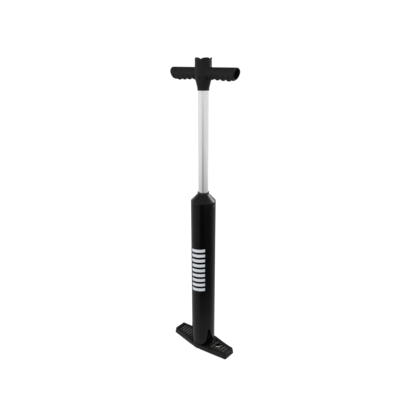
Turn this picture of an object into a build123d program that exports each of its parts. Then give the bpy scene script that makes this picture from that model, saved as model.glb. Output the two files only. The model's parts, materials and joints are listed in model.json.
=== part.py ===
from build123d import *

import math
import os

# Wide-barrel floor pump, in millimetres. +Z is up, the origin is the centre of the foot's underside,
# +X runs along the foot and the handle towards the hose port, and -Y is the side the user stands on.

# ---- Barrel and cap ----
BARREL_R = 40.5
BARREL_BORE_R = 37.0
BARREL_Z = (10.0, 538.5)
CAP_SKIRT_Z = 551.7
CAP_CONE_Z = 574.5
CAP_TOP_Z = 580.5
CAP_NECK_R = 18.6
CAP_HOLE_R = 16.7
CAP_SPIGOT_Z = 516.0
SEAM = 0.5

# ---- Rod ----
ROD_R = 15.9
ROD_WALL = 1.6
ROD_Z = (372.0, 950.0)
RUNNING_GAP = 0.06

# ---- Guide and dust ring in the cap ----
GUIDE_R = 20.0
GUIDE_FLANGE_R = 33.0
GUIDE_FLANGE_T = 8.0
GUIDE_TOP_Z = 562.5
DUST_RING_TOP_Z = 567.5

# ---- Handle ----
HUB_R = 24.8
HUB_Z = (922.0, 984.5)
HUB_CUP_R = 21.8
HUB_CUP_FLOOR_Z = 955.0
RIM_WAVES = 5
RIM_WAVE_DEPTH = 4.5
RIM_WAVE_ANGLE = -63.5
RIM_WAVE_HALF = 14.4
HUB_EDGE_R = 1.2
GRIP_ROOT_R = 5.0
GRIP_END_EDGE_R = 2.5
GRIP_TOP_Z = 958.2
GRIP_END_X = 122.8
GRIP_HALF_WIDTH = 15.3
GRIP_LOW_Z = 924.0
GRIP_FALL = 0.045
LOBE_FIRST_X = 53.0
LOBE_PITCH = 20.2
LOBE_DEPTH = 2.0
GRIP_END = [(115.5, 962.0), (122.2, 956.0), (GRIP_END_X, 949.0), (120.2, 940.0), (115.0, 929.5),
            (101.0, 917.0)]
GRIP_SEAM_X = 34.0
STUB_END_X = 52.0
GRIP_BORE_R = 13.2
GRIP_BORE_Z = 942.5
ARCH_ANGLE = -50.0
ARCH_R = 14.0
ARCH_DEPTH = 1.6
COLLAR_TOP_R = 23.4
COLLAR_LOW_R = 17.4
COLLAR_LIP_R = 17.9
COLLAR_Z = (893.0, 898.5, 922.0)

# ---- Piston ----
PISTON_R = 36.7
PISTON_Z = (346.0, 351.0, 359.0, 363.0, 367.8)
PISTON_HUB_R = 18.0
RING_GROOVE_R = 31.0
RING_WIRE_R = 2.5
RING_MEAN_R = 34.44
SHOULDER_R = 5.0
BUSH_R = 7.5
BUMPER_R = 26.0
BUMPER_TOP_Z = 370.0

# ---- Foot ----
FOOT_TOP_MID_Z = 17.5
FOOT_TOP_END_Z = 20.5
FOOT_END_X = (121.0, 118.0)
FOOT_SOCKET_R = 42.4
FOOT_CORNER_R = 6.0
FOOT_RIM_R = 2.2
FOOT_LOW_SIDE = [(121, 25), (84, 30.5), (50, 35.8), (25, 39.3), (0, 41)]
FOOT_HIGH_SIDE = [(118, 23.6), (97, 25), (74, 28.8), (48, 34.6), (29, 38.5), (0, 40.6)]
FOOT_LOFT_Z = 21.5
TREAD_FLOOR_Z = 12.8
TREAD_SIDE = [(38, 25.0), (58, 19.5), (82, 16.6), (108, 15.6)]
TREAD_INNER_R = 45.0
RIB_COUNT = 5
RIB_PITCH = 11.0
RIB_FIRST_X = 56.0
RIB_WIDTH = 3.6

# ---- Hose port and air duct ----
PORT_X = 68.0
PORT_BOSS_R = 10.5
PORT_SEAL_Z = (18.6, 19.2)
PORT_LIP_Z = 21.0
PORT_SLEEVE_R = 9.0
PORT_BORE_R = 7.25
PORT_CAGE_R = 6.0
PORT_SPOKE_Z = (12.2, 13.4)
VALVE_SEAT_Z = 9.0
VALVE_SEAT_R = 5.0
VALVE_CHAMBER_R = 8.0
VALVE_DISC_R = 7.2
VALVE_DISC_Z = (9.05, 10.05)
OUTLET_R = 9.0
DUCT_HALF_WIDTH = 10.0
DUCT_TOP_Z = 7.5
GASKET_WIDTH = 3.5
COVER_Z = (0.8, 3.8)
COVER_GASKET_Z = 5.0
COVER_SIDE = [(112, 19.0), (0, 35.5)]

# ---- Base plug and screws ----
PLUG_TOP_Z = 24.0
SEAL_GROOVE_Z = (15.0, 19.0)
SEAL_GROOVE_DEPTH = 2.5
SEAL_WIRE_R = 1.2
BASE_SCREW_SPOTS = [(sx * 16.0, sy * 22.0) for sx in (-1, 1) for sy in (-1, 1)]
BASE_SCREW_R = 2.5
BASE_HEAD_R = 4.5
BASE_HEAD_Z = 6.8
BASE_SCREW_TOP_Z = 21.0
COVER_SCREW_SPOTS = [(-104, 0), (-52, -21), (-52, 21), (52, -21), (52, 21), (104, 0)]
COVER_SCREW_R = 1.6
COVER_HEAD_R = 3.6
COVER_HEAD_Z = (1.2, 2.8)
COVER_SCREW_TOP_Z = 11.0


def disc(radius, z0, z1, x=0.0, y=0.0):
    """A vertical cylinder between two heights."""
    return Pos(x, y, z0) * Cylinder(radius, z1 - z0, align=(Align.CENTER, Align.CENTER, Align.MIN))


def ring(r_out, r_in, z0, z1, x=0.0, y=0.0):
    """A flat ring or tube between two heights."""
    return disc(r_out, z0, z1, x, y) - disc(r_in, z0 - 1, z1 + 1, x, y)


def turned(profile):
    """A solid of revolution about Z from a closed outline of (radius, z) points."""
    return revolve(Plane.XZ * make_face(Polyline(*profile, close=True)), Axis.Z)


def slot_block(half_width, z0, z1, x0, x1):
    """A straight block along X with round ends centred on x0 and x1."""
    bar = Pos((x0 + x1) / 2, 0, z0) * Box(
        x1 - x0, 2 * half_width, z1 - z0, align=(Align.CENTER, Align.CENTER, Align.MIN))
    return bar + disc(half_width, z0, z1, x0) + disc(half_width, z0, z1, x1)


def outer_circles(shape):
    """The circular edges at the barrel's outer radius, from the lowest to the highest."""
    circles = shape.edges().filter_by(GeomType.CIRCLE)
    return circles.filter_by(lambda edge: edge.radius > BARREL_R - 0.1).sort_by(Axis.Z)


def mirrored_loop(side):
    """All four quadrants of an outline whose +X +Y quadrant is given from its end to x = 0."""
    left = [(-x, y) for x, y in reversed(side) if x > 0]
    upper = list(side) + left
    return upper + [(x, -y) for x, y in reversed(upper)]


def hex_bolt(head_r, head_z, shank_r, shank_z, socket_r, socket_depth):
    """A socket-head bolt on the Z axis, with its head above its shank or below it."""
    bolt = disc(head_r, *head_z) + disc(shank_r, *shank_z)
    head_above = head_z[0] >= shank_z[1]
    socket_low = head_z[1] - socket_depth if head_above else head_z[0]
    hexagon = extrude(RegularPolygon(socket_r, 6), socket_depth)
    return bolt - Pos(0, 0, socket_low) * hexagon


# ---- Handle and rod ----

def grip_low_z(x):
    """Height of the grip's underside: it falls slightly outwards and waves once for each finger."""
    wave = math.cos(2 * math.pi * (x - LOBE_FIRST_X) / LOBE_PITCH)
    return GRIP_LOW_Z - GRIP_FALL * (x - LOBE_FIRST_X) - LOBE_DEPTH * wave


def grip_form():
    """The whole +X grip before it is bored: four finger lobes below and a rounded, undercut end."""
    sections = []
    for station in range(30):
        x = 16.0 + 4.0 * station
        height = GRIP_TOP_Z - grip_low_z(x)
        middle = Pos(0, GRIP_TOP_Z - height / 2)
        sections.append(Plane.YZ.offset(x) * middle * Ellipse(GRIP_HALF_WIDTH, height / 2))
    end = Spline(*GRIP_END)
    frame = Polyline(GRIP_END[-1], (0, GRIP_END[-1][1]), (0, GRIP_END[0][1]), GRIP_END[0])
    form = loft(sections) & extrude(Plane.XZ * make_face(end + frame), 2 * GRIP_HALF_WIDTH, both=True)
    last_lobe_x = LOBE_FIRST_X + 3 * LOBE_PITCH
    return fillet(form.edges().filter_by(lambda edge: edge.center().X > last_lobe_x), GRIP_END_EDGE_R)


def along_x(radius, x0, x1, z):
    """A cylinder along X between two stations."""
    return Pos(x0, 0, z) * Rot(0, 90, 0) * Cylinder(
        radius, x1 - x0, align=(Align.CENTER, Align.CENTER, Align.MIN))


def grip_split():
    """A block that holds everything past the seam where the +X grip meets the hub."""
    block = Box(200, 100, 100, align=(Align.MIN, Align.CENTER, Align.CENTER))
    return Pos(GRIP_SEAM_X, 0, GRIP_BORE_Z) * block


def grip():
    """The +X grip: a hollow moulding, open at its outer end, that pushes onto the hub's stub."""
    return (grip_form() & grip_split()) - along_x(GRIP_BORE_R, GRIP_SEAM_X - 1, GRIP_END_X + 5, GRIP_BORE_Z)


def rim_dip():
    """What one smooth dip takes out of the cup's rim, on the +X side."""
    dip = Spline((-RIM_WAVE_HALF, 0), (0, -RIM_WAVE_DEPTH), (RIM_WAVE_HALF, 0), tangents=[(1, 0), (1, 0)])
    lid = Polyline((RIM_WAVE_HALF, 0), (RIM_WAVE_HALF, 5), (-RIM_WAVE_HALF, 5), (-RIM_WAVE_HALF, 0))
    across = Plane(origin=(HUB_R / 2, 0, HUB_Z[1]), x_dir=(0, 1, 0), z_dir=(1, 0, 0))
    return extrude(across * make_face(dip + lid), HUB_R)


def handle_hub():
    """Hub with an open wavy-rimmed cup on top, and on each side a rounded root and a stub for a grip."""
    hub = disc(HUB_R, *HUB_Z)
    hub = fillet(hub.edges().sort_by(Axis.Z)[0], HUB_EDGE_R)
    root = grip_form() - grip_split()
    stub = along_x(GRIP_BORE_R, HUB_R - 5, STUB_END_X, GRIP_BORE_Z)
    body = hub + root + mirror(root, Plane.YZ)
    creases = body.edges().filter_by(
        lambda edge: 14 < abs(edge.center().X) < 26 and GRIP_LOW_Z < edge.center().Z < GRIP_TOP_Z + 2)
    body = fillet(creases, GRIP_ROOT_R) + stub + mirror(stub, Plane.YZ)
    body -= disc(HUB_CUP_R, HUB_CUP_FLOOR_Z, HUB_Z[1] + 1)
    body -= disc(ROD_R, HUB_Z[0] - 1, ROD_Z[1])
    body -= disc(4.2, ROD_Z[1] - 1, HUB_CUP_FLOOR_Z + 1)
    for wave in range(RIM_WAVES):
        body -= Rot(0, 0, RIM_WAVE_ANGLE + wave * 360 / RIM_WAVES) * rim_dip()
    shallow = ring(HUB_R + 5, HUB_R - ARCH_DEPTH, HUB_Z[0] - 1, HUB_Z[0] + ARCH_R + 1)
    for turn in (0, 180):
        arch = Rot(0, 0, ARCH_ANGLE + turn) * Pos(HUB_R, 0, HUB_Z[0]) * Rot(0, 90, 0) * Cylinder(ARCH_R, 12)
        body -= arch & shallow
    return body


def handle_collar():
    """Tapered collar under the hub, ending in a small lip."""
    z_low, z_lip, z_top = COLLAR_Z
    lip_edge = 0.8
    return turned([(ROD_R, z_low), (COLLAR_LIP_R - lip_edge, z_low), (COLLAR_LIP_R, z_low + lip_edge),
                   (COLLAR_LIP_R, z_lip - lip_edge), (COLLAR_LOW_R, z_lip), (COLLAR_TOP_R, z_top),
                   (ROD_R, z_top)])


def rod_end_plug():
    """Plug in the bottom of the rod, with a flange under the tube's end."""
    inner_r = ROD_R - ROD_WALL
    plug = disc(inner_r, ROD_Z[0], ROD_Z[0] + 34) + disc(ROD_R, ROD_Z[0] - 4, ROD_Z[0])
    return plug - disc(4.0, ROD_Z[0] - 5, ROD_Z[0] + 26)


def piston_bolt():
    """Shoulder bolt up through the piston into the rod's plug."""
    bolt = hex_bolt(8.5, (347.0, 352.0), SHOULDER_R, (352.0, ROD_Z[0] - 4), 3.5, 3.0)
    return bolt + disc(4.0, ROD_Z[0] - 4, ROD_Z[0] + 22)


def rod_parts():
    inner_r = ROD_R - ROD_WALL
    return {
        "handle_hub": handle_hub(),
        "grip_right": grip(),
        "grip_left": mirror(grip(), Plane.YZ),
        "handle_collar": handle_collar(),
        "handle_washer": ring(9.5, 4.2, HUB_CUP_FLOOR_Z, HUB_CUP_FLOOR_Z + 1.6),
        "handle_bolt": hex_bolt(6.5, (HUB_CUP_FLOOR_Z + 1.6, HUB_CUP_FLOOR_Z + 9.6), 4.0,
                                (ROD_Z[1] - 22, HUB_CUP_FLOOR_Z + 1.6), 3.4, 4.5),
        "rod_tube": ring(ROD_R, inner_r, *ROD_Z),
        "rod_top_plug": disc(inner_r, ROD_Z[1] - 30, ROD_Z[1]) - disc(4.0, ROD_Z[1] - 24, ROD_Z[1] + 1),
        "rod_end_plug": rod_end_plug(),
        "piston_bolt": piston_bolt(),
        "piston_washer": ring(9.5, SHOULDER_R, 352.0, 353.0),
    }


# ---- Piston ----

def piston():
    """Spool with a wide ring groove, notches in its lower flange and a pocket for the bolt's head."""
    z_low, z_groove, z_upper, z_hub, z_top = PISTON_Z
    body = turned([(0, z_low), (PISTON_R, z_low), (PISTON_R, z_groove), (RING_GROOVE_R, z_groove),
                   (RING_GROOVE_R, z_upper), (PISTON_R, z_upper), (PISTON_R, z_hub), (PISTON_HUB_R, z_hub),
                   (PISTON_HUB_R, z_top), (0, z_top)])
    body -= disc(10.0, z_low - 1, 353.3) + disc(BUSH_R, 352.0, z_top + 1)
    for notch in range(6):
        body -= Rot(0, 0, 60 * notch) * Pos(PISTON_R - 1.5, 0, z_low + 2) * Box(9, 8, 6.2)
    pocket = ring(29.0, 15.0, z_low - 1, z_groove - 1.5)
    for spoke in range(6):
        pocket -= Rot(0, 0, 30 + 60 * spoke) * Pos(22, 0, z_low + 2) * Box(20, 3, 10)
    return body - pocket


def piston_parts():
    z_top = PISTON_Z[-1]
    return {
        "piston": piston(),
        "piston_bush": ring(BUSH_R, SHOULDER_R + RUNNING_GAP, 353.3, z_top),
        "top_bumper": ring(BUMPER_R, PISTON_HUB_R, PISTON_Z[3], BUMPER_TOP_Z),
        "piston_ring": Pos(0, 0, PISTON_Z[1] + RING_WIRE_R + 0.05) * Torus(RING_MEAN_R, RING_WIRE_R),
    }


# ---- Barrel, cap and guide ----

def barrel_tube():
    """Plain tube with a fine chamfer at its top, which leaves a seam under the cap."""
    tube = ring(BARREL_R, BARREL_BORE_R, *BARREL_Z)
    return chamfer(outer_circles(tube)[-1], SEAM)


def top_cap():
    """Cone cap: flush skirt outside, spigot inside the barrel, neck round the rod."""
    seam_z = BARREL_Z[1]
    cap = turned([(GUIDE_FLANGE_R, CAP_SPIGOT_Z), (BARREL_BORE_R, CAP_SPIGOT_Z), (BARREL_BORE_R, seam_z),
                  (BARREL_R - SEAM, seam_z), (BARREL_R, seam_z + SEAM), (BARREL_R, CAP_SKIRT_Z),
                  (CAP_NECK_R, CAP_CONE_Z), (CAP_NECK_R, CAP_TOP_Z), (CAP_HOLE_R, CAP_TOP_Z),
                  (CAP_HOLE_R, DUST_RING_TOP_Z), (GUIDE_R, DUST_RING_TOP_Z - 0.8),
                  (GUIDE_R, GUIDE_TOP_Z - 10), (GUIDE_FLANGE_R, GUIDE_TOP_Z - 22)])
    cap = fillet(outer_circles(cap)[-1], 1.6)
    return fillet(cap.edges().filter_by(GeomType.CIRCLE).sort_by(Axis.Z)[-2:], 0.4)


def rod_guide():
    """Flanged guide bush with a ring of vent holes."""
    flange_top = CAP_SPIGOT_Z + GUIDE_FLANGE_T
    guide = disc(GUIDE_R, CAP_SPIGOT_Z, GUIDE_TOP_Z) + disc(GUIDE_FLANGE_R, CAP_SPIGOT_Z, flange_top)
    guide -= disc(ROD_R + RUNNING_GAP, CAP_SPIGOT_Z - 1, GUIDE_TOP_Z + 1)
    for vent in range(8):
        guide -= Rot(0, 0, 45 * vent) * disc(2.6, CAP_SPIGOT_Z - 1, flange_top + 1, x=26.5)
    return guide


def base_plug():
    """Plug in the bottom of the barrel, with a central outlet and a seal groove."""
    plug = disc(BARREL_BORE_R, BARREL_Z[0], PLUG_TOP_Z) - disc(OUTLET_R, BARREL_Z[0] - 1, PLUG_TOP_Z + 1)
    plug -= ring(BARREL_BORE_R + 1, BARREL_BORE_R - SEAL_GROOVE_DEPTH, *SEAL_GROOVE_Z)
    for x, y in BASE_SCREW_SPOTS:
        plug -= disc(BASE_SCREW_R, BARREL_Z[0] - 1, BASE_SCREW_TOP_Z, x, y)
    return plug


def screw_set(spots, head_r, head_z, shank_r, top_z):
    """Pan-head screws that point up, one at each spot, as separate solids of one group."""
    screws = [disc(head_r, *head_z, x, y) + disc(shank_r, head_z[1], top_z, x, y) for x, y in spots]
    return Compound(children=screws)


def barrel_parts():
    seal_r = BARREL_BORE_R - SEAL_GROOVE_DEPTH / 2
    return {
        "barrel_tube": barrel_tube(),
        "top_cap": top_cap(),
        "rod_guide": rod_guide(),
        "dust_ring": ring(GUIDE_R, ROD_R + RUNNING_GAP, GUIDE_TOP_Z, DUST_RING_TOP_Z - 0.8),
        "base_plug": base_plug(),
        "base_seal": Pos(0, 0, sum(SEAL_GROOVE_Z) / 2) * Torus(seal_r, SEAL_WIRE_R),
        "base_screws": screw_set(BASE_SCREW_SPOTS, BASE_HEAD_R, (COVER_Z[1], BASE_HEAD_Z), BASE_SCREW_R,
                                 BASE_SCREW_TOP_Z),
    }


# ---- Foot ----

def foot_outline(side, end_x, z):
    """The foot's closed outline at one height: two curved sides and two blunt ends."""
    far_side = [(x, y) for x, y in side] + [(-x, y) for x, y in reversed(side) if x > 0]
    near_side = [(-x, -y) for x, y in far_side]
    end_y = side[0][1]
    return Pos(0, 0, z) * make_face(
        Spline(*far_side) + Line((-end_x, end_y), (-end_x, -end_y)) + Spline(*near_side)
        + Line((end_x, -end_y), (end_x, end_y)))


def foot_shell():
    """The foot's outer form: drafted sides, blunt ends and a rim that rises slightly to the ends."""
    low_end_x, high_end_x = FOOT_END_X
    low_outline = foot_outline(FOOT_LOW_SIDE, low_end_x, 0)
    shell = loft([low_outline, foot_outline(FOOT_HIGH_SIDE, high_end_x, FOOT_LOFT_Z)])
    corners = shell.edges().filter_by(lambda edge: 1 < edge.center().Z < FOOT_LOFT_Z - 1)
    shell = fillet(corners, FOOT_CORNER_R)
    reach = low_end_x + 5
    rim = ThreePointArc((-reach, FOOT_TOP_END_Z), (0, FOOT_TOP_MID_Z), (reach, FOOT_TOP_END_Z))
    sides = Polyline((reach, FOOT_TOP_END_Z), (reach, 0), (-reach, 0), (-reach, FOOT_TOP_END_Z))
    shell &= extrude(Plane.XZ * make_face(rim + sides), 60, both=True)
    shell = fillet(shell.edges().filter_by(lambda edge: edge.center().Z > FOOT_TOP_MID_Z - 2), FOOT_RIM_R)
    socket = disc(FOOT_SOCKET_R, 0, FOOT_TOP_MID_Z)
    shell += fillet(socket.edges().sort_by(Axis.Z)[-1], 1.0)
    return chamfer(shell.edges().filter_by(lambda edge: edge.center().Z < 0.1), 0.8)


def tread_block(z0, z1, shrink):
    """The space of the +X tread recess, or what fits it with a small gap."""
    loop = [(x, y - shrink) for x, y in TREAD_SIDE]
    loop[-1] = (TREAD_SIDE[-1][0] - shrink, loop[-1][1])
    loop += [(x, -y) for x, y in reversed(loop)]
    block = extrude(Pos(0, 0, z0) * make_face(Polyline(*loop, close=True)), z1 - z0)
    block = fillet(block.edges().filter_by(Axis.Z).sort_by(Axis.X)[-2:], 4.0)
    return block - disc(TREAD_INNER_R + shrink, z0 - 1, z1 + 1)


def tread(side):
    """A ribbed grip insert, with a hole for the port's boss on +X."""
    insert = tread_block(TREAD_FLOOR_Z, TREAD_FLOOR_Z + 1.2, 0.3)
    ribs = tread_block(TREAD_FLOOR_Z, FOOT_TOP_MID_Z - 0.6, 0.3)
    bars = [Pos(RIB_FIRST_X + RIB_PITCH * rib, 0, TREAD_FLOOR_Z) * Box(RIB_WIDTH, 60, 10)
            for rib in range(RIB_COUNT)]
    insert += ribs & (bars[0] + bars[1:])
    insert = fillet(insert.edges().filter_by(Axis.Y).filter_by(lambda edge: edge.center().Z > 14), 0.6)
    if side < 0:
        return mirror(insert, Plane.YZ)
    return insert - disc(PORT_BOSS_R + 0.4, 0, 40, PORT_X)


def foot_plate():
    foot = foot_shell()
    foot -= disc(BARREL_R, BARREL_Z[0], FOOT_LOFT_Z + 5)
    recess = tread_block(TREAD_FLOOR_Z, FOOT_LOFT_Z + 5, 0)
    foot -= recess + mirror(recess, Plane.YZ)
    high_edges = foot.edges().filter_by(lambda edge: edge.center().Z > FOOT_TOP_MID_Z - 0.5)
    mouth = high_edges.filter_by(
        lambda edge: TREAD_INNER_R - 1 < abs(edge.center().X) < 109 and abs(edge.center().Y) < 23)
    foot = fillet(mouth, 1.0)
    foot += disc(PORT_BOSS_R, BARREL_Z[0], PORT_SEAL_Z[0], PORT_X)
    foot -= disc(PORT_SLEEVE_R, PORT_SPOKE_Z[0], 40, PORT_X)
    foot -= disc(VALVE_CHAMBER_R, VALVE_SEAT_Z, PORT_SPOKE_Z[0] + 1, PORT_X)
    foot -= disc(VALVE_SEAT_R, 0, 10, PORT_X) + disc(OUTLET_R, 0, BARREL_Z[0] + 1)
    foot -= slot_block(DUCT_HALF_WIDTH, -1, DUCT_TOP_Z, 0, PORT_X)
    foot -= slot_block(DUCT_HALF_WIDTH + GASKET_WIDTH, -1, COVER_GASKET_Z, 0, PORT_X)
    foot -= extrude(make_face(Polyline(*mirrored_loop(COVER_SIDE), close=True)), COVER_Z[1])
    for x, y in BASE_SCREW_SPOTS:
        foot -= disc(BASE_HEAD_R + 0.3, 0, BASE_HEAD_Z, x, y)
        foot -= disc(BASE_SCREW_R + 0.1, 0, BARREL_Z[0] + 1, x, y)
    for x, y in COVER_SCREW_SPOTS:
        foot -= disc(COVER_SCREW_R, 0, COVER_SCREW_TOP_Z, x, y)
    return foot


def base_cover():
    inset = [(x - 0.3 if x else x, y - 0.3) for x, y in COVER_SIDE]
    cover = extrude(Pos(0, 0, COVER_Z[0]) * make_face(Polyline(*mirrored_loop(inset), close=True)),
                    COVER_Z[1] - COVER_Z[0])
    for x, y in COVER_SCREW_SPOTS:
        cover -= disc(COVER_HEAD_R + 0.3, 0, COVER_HEAD_Z[1], x, y) + disc(COVER_SCREW_R + 0.1, 0, 5, x, y)
    return cover


def port_insert():
    """Hose socket pressed into the boss, with a lip on top and a spider that stops the valve disc."""
    z_low, z_bore = PORT_SPOKE_Z
    lip = ring(PORT_BOSS_R, PORT_BORE_R, PORT_SEAL_Z[1], PORT_LIP_Z, PORT_X)
    insert = fillet(lip.edges().filter_by(lambda edge: edge.center().Z > PORT_LIP_Z - 0.1), 0.8)
    insert += ring(PORT_SLEEVE_R, PORT_BORE_R, z_bore, PORT_SEAL_Z[1], PORT_X)
    insert += ring(PORT_SLEEVE_R, PORT_CAGE_R, z_low, z_bore, PORT_X)
    bar = Pos(PORT_X, 0, (z_low + z_bore) / 2) * Box(2 * PORT_CAGE_R + 1, 1.6, z_bore - z_low)
    for angle in (0, 60, 120):
        insert += bar.rotate(Axis((PORT_X, 0, 0), (0, 0, 1)), angle)
    return insert


def foot_parts():
    gasket = slot_block(DUCT_HALF_WIDTH + GASKET_WIDTH, COVER_Z[1], COVER_GASKET_Z, 0, PORT_X)
    return {
        "foot_plate": foot_plate(),
        "tread_left": tread(-1),
        "tread_right": tread(1),
        "port_insert": port_insert(),
        "port_seal": ring(PORT_BOSS_R - 0.1, PORT_SLEEVE_R, *PORT_SEAL_Z, PORT_X),
        "outlet_valve_disc": disc(VALVE_DISC_R, *VALVE_DISC_Z, PORT_X),
        "base_cover": base_cover(),
        "cover_gasket": gasket - slot_block(DUCT_HALF_WIDTH, 0, 10, 0, PORT_X),
        "cover_screws": screw_set(COVER_SCREW_SPOTS, COVER_HEAD_R, COVER_HEAD_Z, COVER_SCREW_R,
                                  COVER_SCREW_TOP_Z),
    }


def main():
    os.makedirs("parts", exist_ok=True)
    for group in (rod_parts, piston_parts, barrel_parts, foot_parts):
        for node, shape in group().items():
            shape.label = node
            export_step(shape, f"parts/{node}.step")
            print(f"{node}: {shape.volume / 1000:.2f} cm3, valid {shape.is_valid}")


main()
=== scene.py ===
"""Looks of the wide-barrel floor pump: materials, printed bars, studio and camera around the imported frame."""
import json
import math

import bmesh
import bpy
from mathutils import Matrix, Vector


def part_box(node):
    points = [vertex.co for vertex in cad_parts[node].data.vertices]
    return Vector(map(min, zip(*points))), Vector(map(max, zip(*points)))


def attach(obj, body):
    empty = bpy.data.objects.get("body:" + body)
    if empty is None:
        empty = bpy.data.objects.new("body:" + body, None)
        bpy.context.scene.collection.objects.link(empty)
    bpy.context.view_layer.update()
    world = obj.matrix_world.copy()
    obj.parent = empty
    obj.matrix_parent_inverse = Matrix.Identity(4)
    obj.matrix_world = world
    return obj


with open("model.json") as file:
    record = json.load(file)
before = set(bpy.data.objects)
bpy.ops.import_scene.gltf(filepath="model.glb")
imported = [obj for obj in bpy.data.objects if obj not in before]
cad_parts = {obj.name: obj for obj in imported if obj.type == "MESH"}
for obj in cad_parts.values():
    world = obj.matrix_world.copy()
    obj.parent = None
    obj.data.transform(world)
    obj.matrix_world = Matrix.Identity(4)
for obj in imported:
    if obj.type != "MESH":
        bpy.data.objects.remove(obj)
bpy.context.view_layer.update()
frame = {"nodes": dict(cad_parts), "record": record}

MM = 0.001

# ---- Camera: it stands on the -Y side turned towards +X, and looks down at the pump's axis ----
CAMERA_TURN = math.radians(40.3)
CAMERA_REACH = 1.25
CAMERA_HEIGHT = 0.978
CAMERA_TILT = math.radians(19.93)
CAMERA_LENS = 35.4
CAMERA_SENSOR = 36.0
CAMERA_SHIFT = 0.0112
CAMERA_NEAR = 0.05
FRONT = Vector((math.sin(CAMERA_TURN), -math.cos(CAMERA_TURN), 0.0))
RIGHT = Vector((math.cos(CAMERA_TURN), math.sin(CAMERA_TURN), 0.0))

# ---- Places on the pump that its materials follow ----
CONE_FOOT_Z = 551.7 * MM
CONE_BLEND = 0.6 * MM
PORT_CENTRE = Vector((68.0, 0.0, 21.0)) * MM
# The port's pale patch is a painted highlight on the near side of its lip.
PORT_HIGHLIGHT_REACH = (4.5 * MM, 8.0 * MM)
PORT_HIGHLIGHT_Z = (19.0 * MM, 19.8 * MM)
# Below this height the tread's grooves are darkened as painted shade.
TREAD_SHADE_Z = (15.2 * MM, 16.6 * MM)

# ---- Printed bars on the barrel ----
BAR_COUNT = 9
BAR_Z = (0.237, 0.400)
BAR_ANGLES = (math.radians(-114), math.radians(-42))
BAR_STEPS = 24
BAR_FILL = 0.55
BAR_SLANT = 0.007
BAR_SHARP = math.radians(40)
INK_PROUD = 0.06 * MM
INK_DEEP = 0.04 * MM

# ---- Studio: the room, and for each light its bearing in degrees from the front towards the right, its
# distance, height, size and power ----
ROOM_RADIUS = 11.0
ROOM_SEGMENTS = 96
FLOOR_GLOW = 0.90
BACKDROP_GLOW = 1.02
OVERHEAD_POWER = 3.0
OVERHEAD_SPREAD = math.radians(120)
OVERHEAD_LOOK = Vector((0.1, 0.05, -1.0))
OVERHEAD_Z = 3.0
SOFT_BOX_AIM_Z = 0.5
SOFT_BOXES = (
    ("left_light", -62, 2.4, 1.5, (1.2, 2.0), 30),
    ("front_light", 8, 2.6, 1.7, (1.0, 1.6), 8),
    ("right_light", 88, 2.4, 1.4, (1.0, 2.0), 9),
    ("back_light", 180, 2.6, 1.7, (1.6, 1.6), 16),
    ("cap_light", 128, 1.8, 1.7, (0.66, 0.90), 17),
)
LIGHT_IN_GLOSS = "cap_light"

# ---- What the gloss reflects: brightness by bearing, in degrees from the front towards the right. The low
# walls are seen well below the horizon, and the high walls from there up to it ----
LOW_WALLS = ((-180, 0.40), (-125, 0.40), (-90, 0.31), (-48, 0.205), (-35, 0.15), (-30, 0.035), (10, 0.035),
             (16, 0.065), (62, 0.075), (88, 0.21), (120, 0.36), (180, 0.40))
HIGH_WALLS = ((-180, 0.72), (-60, 0.72), (-34, 0.66), (-22, 0.16), (2, 0.16), (16, 0.62), (60, 0.72),
              (180, 0.74))
PLAIN_WALL = 0.78
CEILING = 0.05
GROUND = 0.45

# Where each gives way to the next, from and to a sine of the elevation.
GROUND_TO_LOW = (-0.66, -0.50)
LOW_TO_HIGH = (-0.322, -0.290)
HIGH_TO_PLAIN = (-0.34, 0.02)
PLAIN_TO_CEILING = (0.1, 0.6)

# A Mix node has a pair of inputs and an output for each kind of value.
MIX_NUMBER_INPUTS = (2, 3)
MIX_NUMBER_OUTPUT = 0
MIX_COLOUR_INPUTS = (6, 7)
MIX_COLOUR_OUTPUT = 2


# ---------------------------------------------------------------- nodes

def give(tree, value, socket):
    """Feeds a socket from another socket, or sets it to a plain value."""
    if isinstance(value, bpy.types.NodeSocket):
        tree.links.new(value, socket)
    else:
        socket.default_value = value


def vector_math(tree, operation, first, second):
    """Works on two vectors, either of which may be a socket."""
    node = tree.nodes.new("ShaderNodeVectorMath")
    node.operation = operation
    give(tree, first, node.inputs[0])
    give(tree, second, node.inputs[1])
    return node.outputs["Value" if operation == "DOT_PRODUCT" else "Vector"]


def smooth_range(tree, source, start, end, low=0.0, high=1.0):
    """Changes smoothly from low to high as a number socket goes from start to end."""
    node = tree.nodes.new("ShaderNodeMapRange")
    node.interpolation_type = "SMOOTHSTEP"
    for name, value in (("From Min", start), ("From Max", end), ("To Min", low), ("To Max", high)):
        node.inputs[name].default_value = value
    tree.links.new(source, node.inputs["Value"])
    return node.outputs["Result"]


def mix_colours(tree, amount, first, second):
    """Blends two colours, each a socket or red, green and blue."""
    node = tree.nodes.new("ShaderNodeMix")
    node.data_type = "RGBA"
    tree.links.new(amount, node.inputs["Factor"])
    for index, colour in zip(MIX_COLOUR_INPUTS, (first, second)):
        give(tree, colour if isinstance(colour, bpy.types.NodeSocket) else (*colour, 1.0), node.inputs[index])
    return node.outputs[MIX_COLOUR_OUTPUT]


# ---------------------------------------------------------------- materials

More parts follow.
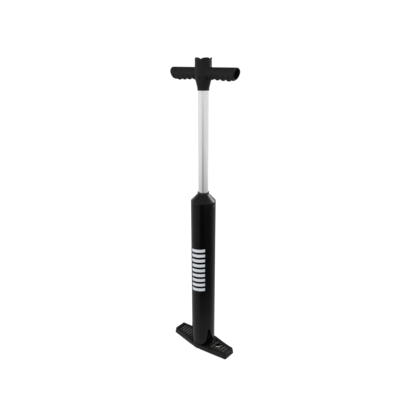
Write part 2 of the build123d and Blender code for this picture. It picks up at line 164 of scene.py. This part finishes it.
class Shader:
    """A node material being put together: one Principled shader and the nodes that feed it."""

    def __init__(self, name):
        self.material = bpy.data.materials.new(name)
        self.material.use_nodes = True
        self.tree = self.material.node_tree
        self.nodes = self.tree.nodes
        self.surface = self.nodes["Principled BSDF"]
        self.place = self.nodes.new("ShaderNodeTexCoord").outputs["Object"]

    def link(self, source, target):
        self.tree.links.new(source, target)

    def set(self, **values):
        """Sets the shader's own sockets, given with underscores for spaces."""
        for name, value in values.items():
            self.surface.inputs[name.replace("_", " ")].default_value = value

    def noise(self, scale, detail=4.0, roughness=0.55, stretch=(1, 1, 1)):
        """Noise over the piece, its waves counted per metre and closer together where stretch is larger."""
        node = self.nodes.new("ShaderNodeTexNoise")
        node.inputs["Scale"].default_value = scale
        node.inputs["Detail"].default_value = detail
        node.inputs["Roughness"].default_value = roughness
        self.link(vector_math(self.tree, "MULTIPLY", self.place, stretch), node.inputs["Vector"])
        return node.outputs["Fac"]

    def cells(self, scale):
        node = self.nodes.new("ShaderNodeTexVoronoi")
        node.inputs["Scale"].default_value = scale
        self.link(self.place, node.inputs["Vector"])
        return node.outputs["Distance"]

    def ramp(self, source, low, high, start=0.3, end=0.7):
        """Turns a 0 to 1 pattern into a smooth change from one number to another."""
        return smooth_range(self.tree, source, start, end, low, high)

    def height(self, start, end):
        """0 below one height on the piece and 1 above another."""
        node = self.nodes.new("ShaderNodeSeparateXYZ")
        self.link(self.place, node.inputs[0])
        return smooth_range(self.tree, node.outputs["Z"], start, end)

    def towards(self, centre, direction, start, end):
        """0 nearer than one distance from a centre along a direction, and 1 beyond another."""
        offset = vector_math(self.tree, "SUBTRACT", self.place, centre)
        return smooth_range(self.tree, vector_math(self.tree, "DOT_PRODUCT", offset, direction), start, end)

    def blend(self, amount, first, second):
        """Blends two number sockets."""
        node = self.nodes.new("ShaderNodeMix")
        self.link(amount, node.inputs["Factor"])
        for index, number in zip(MIX_NUMBER_INPUTS, (first, second)):
            self.link(number, node.inputs[index])
        return node.outputs[MIX_NUMBER_OUTPUT]

    def mix(self, amount, first, second):
        """Blends two colours, either of which may be a socket."""
        return mix_colours(self.tree, amount, first, second)

    def edge_wear(self, reach, high):
        """0 on open faces and high on sharp edges, from the bevelled normal."""
        bevel = self.nodes.new("ShaderNodeBevel")
        bevel.samples = 4
        bevel.inputs["Radius"].default_value = reach
        flat = self.nodes.new("ShaderNodeNewGeometry").outputs["Normal"]
        likeness = vector_math(self.tree, "DOT_PRODUCT", bevel.outputs["Normal"], flat)
        return self.ramp(likeness, high, 0.0, 0.9, 0.99)

    def bumps(self, *layers):
        """Stacks bump layers, each (pattern, height in metres), and feeds the shader's normal."""
        below = None
        for pattern, height in layers:
            node = self.nodes.new("ShaderNodeBump")
            node.inputs["Strength"].default_value = 1.0
            node.inputs["Distance"].default_value = height
            self.link(pattern, node.inputs["Height"])
            if below:
                self.link(below, node.inputs["Normal"])
            below = node.outputs["Normal"]
        self.link(below, self.surface.inputs["Normal"])

    def colour(self, source):
        self.link(source, self.surface.inputs["Base Color"])

    def roughness(self, source):
        self.link(source, self.surface.inputs["Roughness"])


def polish(s):
    """The barrel's deep gloss: faint ripple and hairline rubbing along it. Gives its colour and roughness."""
    s.set(IOR=1.5)
    cloud = s.noise(28, 5, 0.6)
    hair = s.noise(1400, 2, 0.5, stretch=(1, 1, 0.03))
    s.bumps((s.noise(45, 2, 0.4, stretch=(1, 1, 0.35)), 0.10 * MM), (hair, 0.0015 * MM))
    colour = s.mix(s.ramp(cloud, 0, 1), (0.0006, 0.0006, 0.0007), (0.0018, 0.0018, 0.0019))
    return colour, s.ramp(hair, 0.08, 0.17, 0.35, 0.75)


def gloss_black():
    """Polished black moulding."""
    s = Shader("gloss_black")
    colour, rough = polish(s)
    s.colour(colour)
    s.roughness(rough)
    return s.material


def cap_black():
    """The cap: its skirt is as glossy as the barrel, its cone is satin."""
    s = Shader("cap_black")
    colour, rough = polish(s)
    cone = s.height(CONE_FOOT_Z - CONE_BLEND, CONE_FOOT_Z + CONE_BLEND)
    grain = s.noise(700, 4, 0.6)
    satin = s.mix(s.ramp(grain, 0, 1), (0.0065, 0.0065, 0.0066), (0.0105, 0.0105, 0.0103))
    s.colour(s.mix(cone, colour, satin))
    s.roughness(s.blend(cone, rough, s.ramp(grain, 0.25, 0.33)))
    return s.material


def port_black():
    """The hose port: polished, with a painted highlight, a pale patch, on the near side of its lip that faces
    the camera.
    """
    s = Shader("port_black")
    colour, rough = polish(s)
    # Painted highlight: a pale patch on the top of the lip, on the side towards the camera.
    near_side_highlight = s.towards(PORT_CENTRE, FRONT, *PORT_HIGHLIGHT_REACH)
    painted_highlight = s.mix(s.height(*PORT_HIGHLIGHT_Z), colour, (0.26, 0.26, 0.25))
    s.colour(s.mix(near_side_highlight, colour, painted_highlight))
    s.roughness(s.blend(near_side_highlight, rough, s.ramp(s.noise(900), 0.3, 0.45)))
    return s.material


def handle_black():
    """Matt black moulding with a fine spark-eroded grain, rubbed smoother in places."""
    s = Shader("handle_black")
    s.set(IOR=1.48, Specular_IOR_Level=0.26)
    fine = s.noise(2600, 3, 0.6)
    cloud = s.noise(60, 5, 0.6)
    base = s.mix(s.ramp(cloud, 0, 1), (0.0060, 0.0060, 0.0063), (0.0115, 0.0115, 0.0110))
    s.colour(s.mix(s.edge_wear(0.8 * MM, 0.35), base, (0.035, 0.035, 0.035)))
    s.roughness(s.ramp(cloud, 0.50, 0.64))
    s.bumps((s.cells(1500), 0.035 * MM), (fine, 0.02 * MM))
    return s.material


def foot_black():
    """Satin black foot: fine grain, scuffs and paler edges."""
    s = Shader("foot_black")
    s.set(IOR=1.5)
    grain = s.noise(1900, 3, 0.6)
    scuff = s.noise(160, 6, 0.7, stretch=(0.35, 1, 1))
    base = s.mix(s.ramp(scuff, 0, 1, 0.45, 0.75), (0.0016, 0.0016, 0.0017), (0.0060, 0.0058, 0.0053))
    s.colour(s.mix(s.edge_wear(0.9 * MM, 0.4), base, (0.022, 0.022, 0.022)))
    s.roughness(s.ramp(scuff, 0.34, 0.50))
    s.bumps((grain, 0.022 * MM), (scuff, 0.03 * MM))
    return s.material


def tread_grey():
    """Ribbed rubber tread: grooves darkened as painted shade, rib tops grey and dusty."""
    s = Shader("tread_grey")
    s.set(IOR=1.45)
    dust = s.noise(210, 6, 0.65)
    grain = s.noise(2300, 4, 0.65)
    dusty = s.ramp(dust, 0, 1, 0.35, 0.7)
    # Painted shade: the grooves below the rib tops are darkened, and dust varies both colours.
    shaded_groove = s.mix(dusty, (0.006, 0.006, 0.006), (0.014, 0.014, 0.013))
    rib_top = s.mix(dusty, (0.040, 0.039, 0.037), (0.070, 0.068, 0.063))
    s.colour(s.mix(s.height(*TREAD_SHADE_Z), shaded_groove, rib_top))
    s.roughness(s.ramp(dust, 0.68, 0.86))
    s.bumps((grain, 0.05 * MM))
    return s.material


def aluminium():
    """Drawn, clear-anodised tube: soft streaks run along it."""
    s = Shader("aluminium")
    s.set(Metallic=0.85, IOR=1.5)
    streak = s.noise(1.0, 3, 0.6, stretch=(900, 900, 7))
    broad = s.noise(1.0, 2, 0.5, stretch=(210, 210, 2.5))
    tone = s.mix(s.ramp(broad, 0, 1), (0.92, 0.92, 0.92), (0.97, 0.97, 0.965))
    s.colour(s.mix(s.ramp(streak, 0, 0.35, 0.4, 0.75), tone, (0.81, 0.81, 0.82)))
    s.roughness(s.ramp(streak, 0.18, 0.28))
    s.bumps((streak, 0.003 * MM), (broad, 0.01 * MM))
    return s.material


def steel():
    """Zinc-plated steel, turned: fine rings and a dull patchy gloss."""
    s = Shader("steel")
    s.set(Metallic=1.0)
    patch = s.noise(220, 5, 0.6)
    lines = s.noise(1.0, 2, 0.5, stretch=(500, 500, 4200))
    s.colour(s.mix(s.ramp(patch, 0, 1), (0.44, 0.44, 0.45), (0.60, 0.60, 0.59)))
    s.roughness(s.ramp(lines, 0.26, 0.42))
    s.bumps((lines, 0.008 * MM))
    return s.material


def rubber_black():
    """Smooth seal rubber with a slight bloom."""
    s = Shader("rubber_black")
    s.set(IOR=1.45)
    bloom = s.noise(180, 5, 0.6)
    s.colour(s.mix(s.ramp(bloom, 0, 1), (0.012, 0.012, 0.012), (0.024, 0.024, 0.024)))
    s.roughness(s.ramp(bloom, 0.48, 0.7))
    s.bumps((s.noise(1500, 3), 0.015 * MM))
    return s.material


def felt_grey():
    """Pressed felt: tangled light and dark fibres."""
    s = Shader("felt_grey")
    s.set(Sheen_Weight=0.3)
    fibre = s.noise(1800, 6, 0.75, stretch=(1, 1, 0.4))
    s.colour(s.mix(s.ramp(fibre, 0, 1), (0.14, 0.14, 0.145), (0.30, 0.30, 0.29)))
    s.roughness(s.ramp(fibre, 0.86, 0.97))
    s.bumps((fibre, 0.15 * MM))
    return s.material


def nylon_white():
    """Natural nylon, slightly cloudy."""
    s = Shader("nylon_white")
    s.set(IOR=1.52, Subsurface_Weight=0.1, Subsurface_Scale=2 * MM)
    cloud = s.noise(130, 5, 0.6)
    s.colour(s.mix(s.ramp(cloud, 0, 1), (0.68, 0.66, 0.60), (0.78, 0.76, 0.71)))
    s.roughness(s.ramp(cloud, 0.34, 0.48))
    s.bumps((s.noise(1500, 3), 0.01 * MM))
    return s.material


def white_ink():
    """Screen-printed white, slightly cool, with specks where it is thin and greyer."""
    s = Shader("white_ink")
    s.set(IOR=1.48)
    speck = s.noise(1300, 4, 0.7)
    cloud = s.noise(90, 4, 0.6)
    tone = s.mix(s.ramp(cloud, 0, 1), (0.58, 0.61, 0.66), (0.64, 0.67, 0.71))
    s.colour(s.mix(s.ramp(speck, 0, 0.5, 0.58, 0.8), tone, (0.38, 0.40, 0.42)))
    s.roughness(s.ramp(cloud, 0.3, 0.45))
    s.bumps((speck, 0.01 * MM))
    return s.material


def floor_paper():
    """White studio floor that glows just enough to stay white, with faint shadows."""
    s = Shader("floor_paper")
    s.set(Emission_Color=(1, 1, 1, 1), Emission_Strength=FLOOR_GLOW)
    fibre = s.noise(60, 5, 0.6)
    s.colour(s.mix(s.ramp(fibre, 0, 1), (0.11, 0.11, 0.11), (0.13, 0.13, 0.13)))
    s.roughness(s.ramp(fibre, 0.85, 0.95))
    s.bumps((s.noise(900, 3), 0.02 * MM))
    return s.material


def backdrop_white():
    """Plain glowing white, for the dome behind everything."""
    s = Shader("backdrop_white")
    s.set(Base_Color=(0, 0, 0, 1), Emission_Color=(1, 1, 1, 1), Emission_Strength=BACKDROP_GLOW)
    return s.material


SLOT_MAKERS = (gloss_black, handle_black, foot_black, tread_grey, aluminium, steel, rubber_black, felt_grey,
               nylon_white)
NODE_MAKERS = {"top_cap": cap_black, "port_insert": port_black}


def coat(node, material):
    """Gives a CAD node one material."""
    mesh = frame["nodes"][node].data
    mesh.materials.clear()
    mesh.materials.append(material)


def finish_nodes():
    """Gives every CAD node the material of its slot, and two of them one of their own instead."""
    made = {maker.__name__: maker() for maker in SLOT_MAKERS}
    for part in frame["record"]["subparts"]:
        coat(part["node"], made[part["material_slot"]])
    for node, maker in NODE_MAKERS.items():
        coat(node, maker())


# ---------------------------------------------------------------- printed bars

def bar_mesh(radius, bottom, top):
    """A thin curved slab on the barrel, its long edges leaning from one end to the other."""
    mesh = bmesh.new()
    corners = ((radius - INK_DEEP, bottom), (radius + INK_PROUD, bottom),
               (radius + INK_PROUD, top), (radius - INK_DEEP, top))
    rows = []
    for step in range(BAR_STEPS + 1):
        share = step / BAR_STEPS
        angle = BAR_ANGLES[0] + (BAR_ANGLES[1] - BAR_ANGLES[0]) * share
        lean = BAR_SLANT * (share - 0.5)
        rows.append([mesh.verts.new((reach * math.cos(angle), reach * math.sin(angle), z + lean))
                     for reach, z in corners])
    for before, after in zip(rows, rows[1:]):
        for k in range(len(corners)):
            following = (k + 1) % len(corners)
            mesh.faces.new((before[k], after[k], after[following], before[following]))
    mesh.faces.new(rows[0])
    mesh.faces.new(reversed(rows[-1]))
    bmesh.ops.recalc_face_normals(mesh, faces=mesh.faces)
    return mesh


def printed_bars(ink):
    """A ladder of plain slanted bars printed up the barrel."""
    low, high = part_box("barrel_tube")
    radius = (high.x - low.x) / 2
    pitch = (BAR_Z[1] - BAR_Z[0]) / BAR_COUNT
    for index in range(BAR_COUNT):
        bottom = BAR_Z[0] + pitch * index
        data = bpy.data.meshes.new(f"printed_bar_{index}")
        slab = bar_mesh(radius, bottom, bottom + pitch * BAR_FILL)
        slab.to_mesh(data)
        slab.free()
        data.materials.append(ink)
        data.shade_smooth()
        data.set_sharp_from_angle(angle=BAR_SHARP)
        bar = bpy.data.objects.new(data.name, data)
        bpy.context.collection.objects.link(bar)
        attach(bar, "pump_body")


# ---------------------------------------------------------------- studio

def add(name, data, place=(0, 0, 0), look=None):
    """Puts a camera, light or mesh into the scene, turned to look along a direction."""
    thing = bpy.data.objects.new(name, data)
    thing.location = place
    if look:
        thing.rotation_mode = "QUATERNION"
        thing.rotation_quaternion = look.to_track_quat("-Z", "Y")
    bpy.context.collection.objects.link(thing)
    return thing


def add_shell(name, mesh, material):
    """Puts a finished bmesh of the room into the scene."""
    data = bpy.data.meshes.new(name)
    mesh.to_mesh(data)
    mesh.free()
    data.materials.append(material)
    return add(name, data)


def camera():
    data = bpy.data.cameras.new("camera")
    data.lens = CAMERA_LENS
    data.sensor_width = CAMERA_SENSOR
    data.shift_x = CAMERA_SHIFT
    data.clip_start = CAMERA_NEAR
    look = -FRONT * math.cos(CAMERA_TILT) - Vector((0, 0, math.sin(CAMERA_TILT)))
    place = FRONT * CAMERA_REACH + Vector((0, 0, CAMERA_HEIGHT))
    bpy.context.scene.camera = add("camera", data, place, look)


def floor():
    """A wide white floor. It takes light and shadow but sends none back: the room does that."""
    mesh = bmesh.new()
    bmesh.ops.create_circle(mesh, cap_ends=True, segments=ROOM_SEGMENTS, radius=ROOM_RADIUS)
    sheet = add_shell("floor", mesh, floor_paper())
    sheet.visible_glossy = sheet.visible_diffuse = False


def backdrop():
    """A white dome that only the camera sees: it neither lights the pump nor shows in its gloss."""
    mesh = bmesh.new()
    bmesh.ops.create_uvsphere(mesh, u_segments=ROOM_SEGMENTS, v_segments=ROOM_SEGMENTS // 2,
                              radius=ROOM_RADIUS)
    dome = add_shell("backdrop", mesh, backdrop_white())
    dome.data.shade_smooth()
    dome.visible_diffuse = dome.visible_glossy = dome.visible_transmission = False
    dome.visible_volume_scatter = dome.visible_shadow = False


def soft_box(name, bearing, distance, height, size, power):
    """A soft light that stands round the pump, faces its axis and is itself out of the camera's sight."""
    data = bpy.data.lights.new(name, "AREA")
    data.shape = "RECTANGLE"
    data.size, data.size_y = size
    data.energy = power
    turn = math.radians(bearing)
    place = (FRONT * math.cos(turn) + RIGHT * math.sin(turn)) * distance + Vector((0, 0, height))
    light = add(name, data, place, Vector((0, 0, SOFT_BOX_AIM_Z)) - place)
    light.visible_camera = False
    light.visible_glossy = name == LIGHT_IN_GLOSS


def overhead():
    """Even light from the whole ceiling, which keeps the floor white and its shadows faint."""
    data = bpy.data.lights.new("overhead", "SUN")
    data.energy = OVERHEAD_POWER
    data.angle = OVERHEAD_SPREAD
    light = add("overhead", data, (0, 0, OVERHEAD_Z), OVERHEAD_LOOK)
    light.visible_glossy = False


def grey(level):
    return (level, level, level)


def walls(tree, share, levels):
    """A ring of walls, each of (bearing, brightness), round the share of a turn that starts at the back."""
    ring = tree.nodes.new("ShaderNodeValToRGB")
    stops = ring.color_ramp.elements
    while len(stops) < len(levels):
        stops.new(0.5)
    for stop, (bearing, level) in zip(stops, levels):
        stop.position = (bearing + 180) / 360
        stop.color = (*grey(level), 1.0)
    tree.links.new(share, ring.inputs["Fac"])
    return ring.outputs["Color"]


def room():
    """What the gloss reflects: walls that differ in brightness all round, a dark ceiling and pale ground."""
    world = bpy.data.worlds.new("room")
    bpy.context.scene.world = world
    world.use_nodes = True
    tree = world.node_tree
    direction = tree.nodes.new("ShaderNodeTexCoord").outputs["Generated"]
    up = vector_math(tree, "DOT_PRODUCT", direction, (0, 0, 1))

    bearing = tree.nodes.new("ShaderNodeMath")
    bearing.operation = "ARCTAN2"
    for socket, axis in zip(bearing.inputs, (RIGHT, FRONT)):
        tree.links.new(vector_math(tree, "DOT_PRODUCT", direction, axis), socket)
    turn = tree.nodes.new("ShaderNodeMapRange")
    turn.inputs["From Min"].default_value = -math.pi
    turn.inputs["From Max"].default_value = math.pi
    tree.links.new(bearing.outputs["Value"], turn.inputs["Value"])
    share = turn.outputs["Result"]

    low = mix_colours(tree, smooth_range(tree, up, *GROUND_TO_LOW), grey(GROUND),
                      walls(tree, share, LOW_WALLS))
    high = mix_colours(tree, smooth_range(tree, up, *HIGH_TO_PLAIN), walls(tree, share, HIGH_WALLS),
                       grey(PLAIN_WALL))
    sides = mix_colours(tree, smooth_range(tree, up, *LOW_TO_HIGH), low, high)
    whole = mix_colours(tree, smooth_range(tree, up, *PLAIN_TO_CEILING), sides, grey(CEILING))
    tree.links.new(whole, tree.nodes["Background"].inputs["Color"])


def studio():
    camera()
    floor()
    backdrop()
    room()
    overhead()
    for light in SOFT_BOXES:
        soft_box(*light)
    bpy.context.scene.view_settings.view_transform = "Standard"


finish_nodes()
printed_bars(white_ink())
studio()
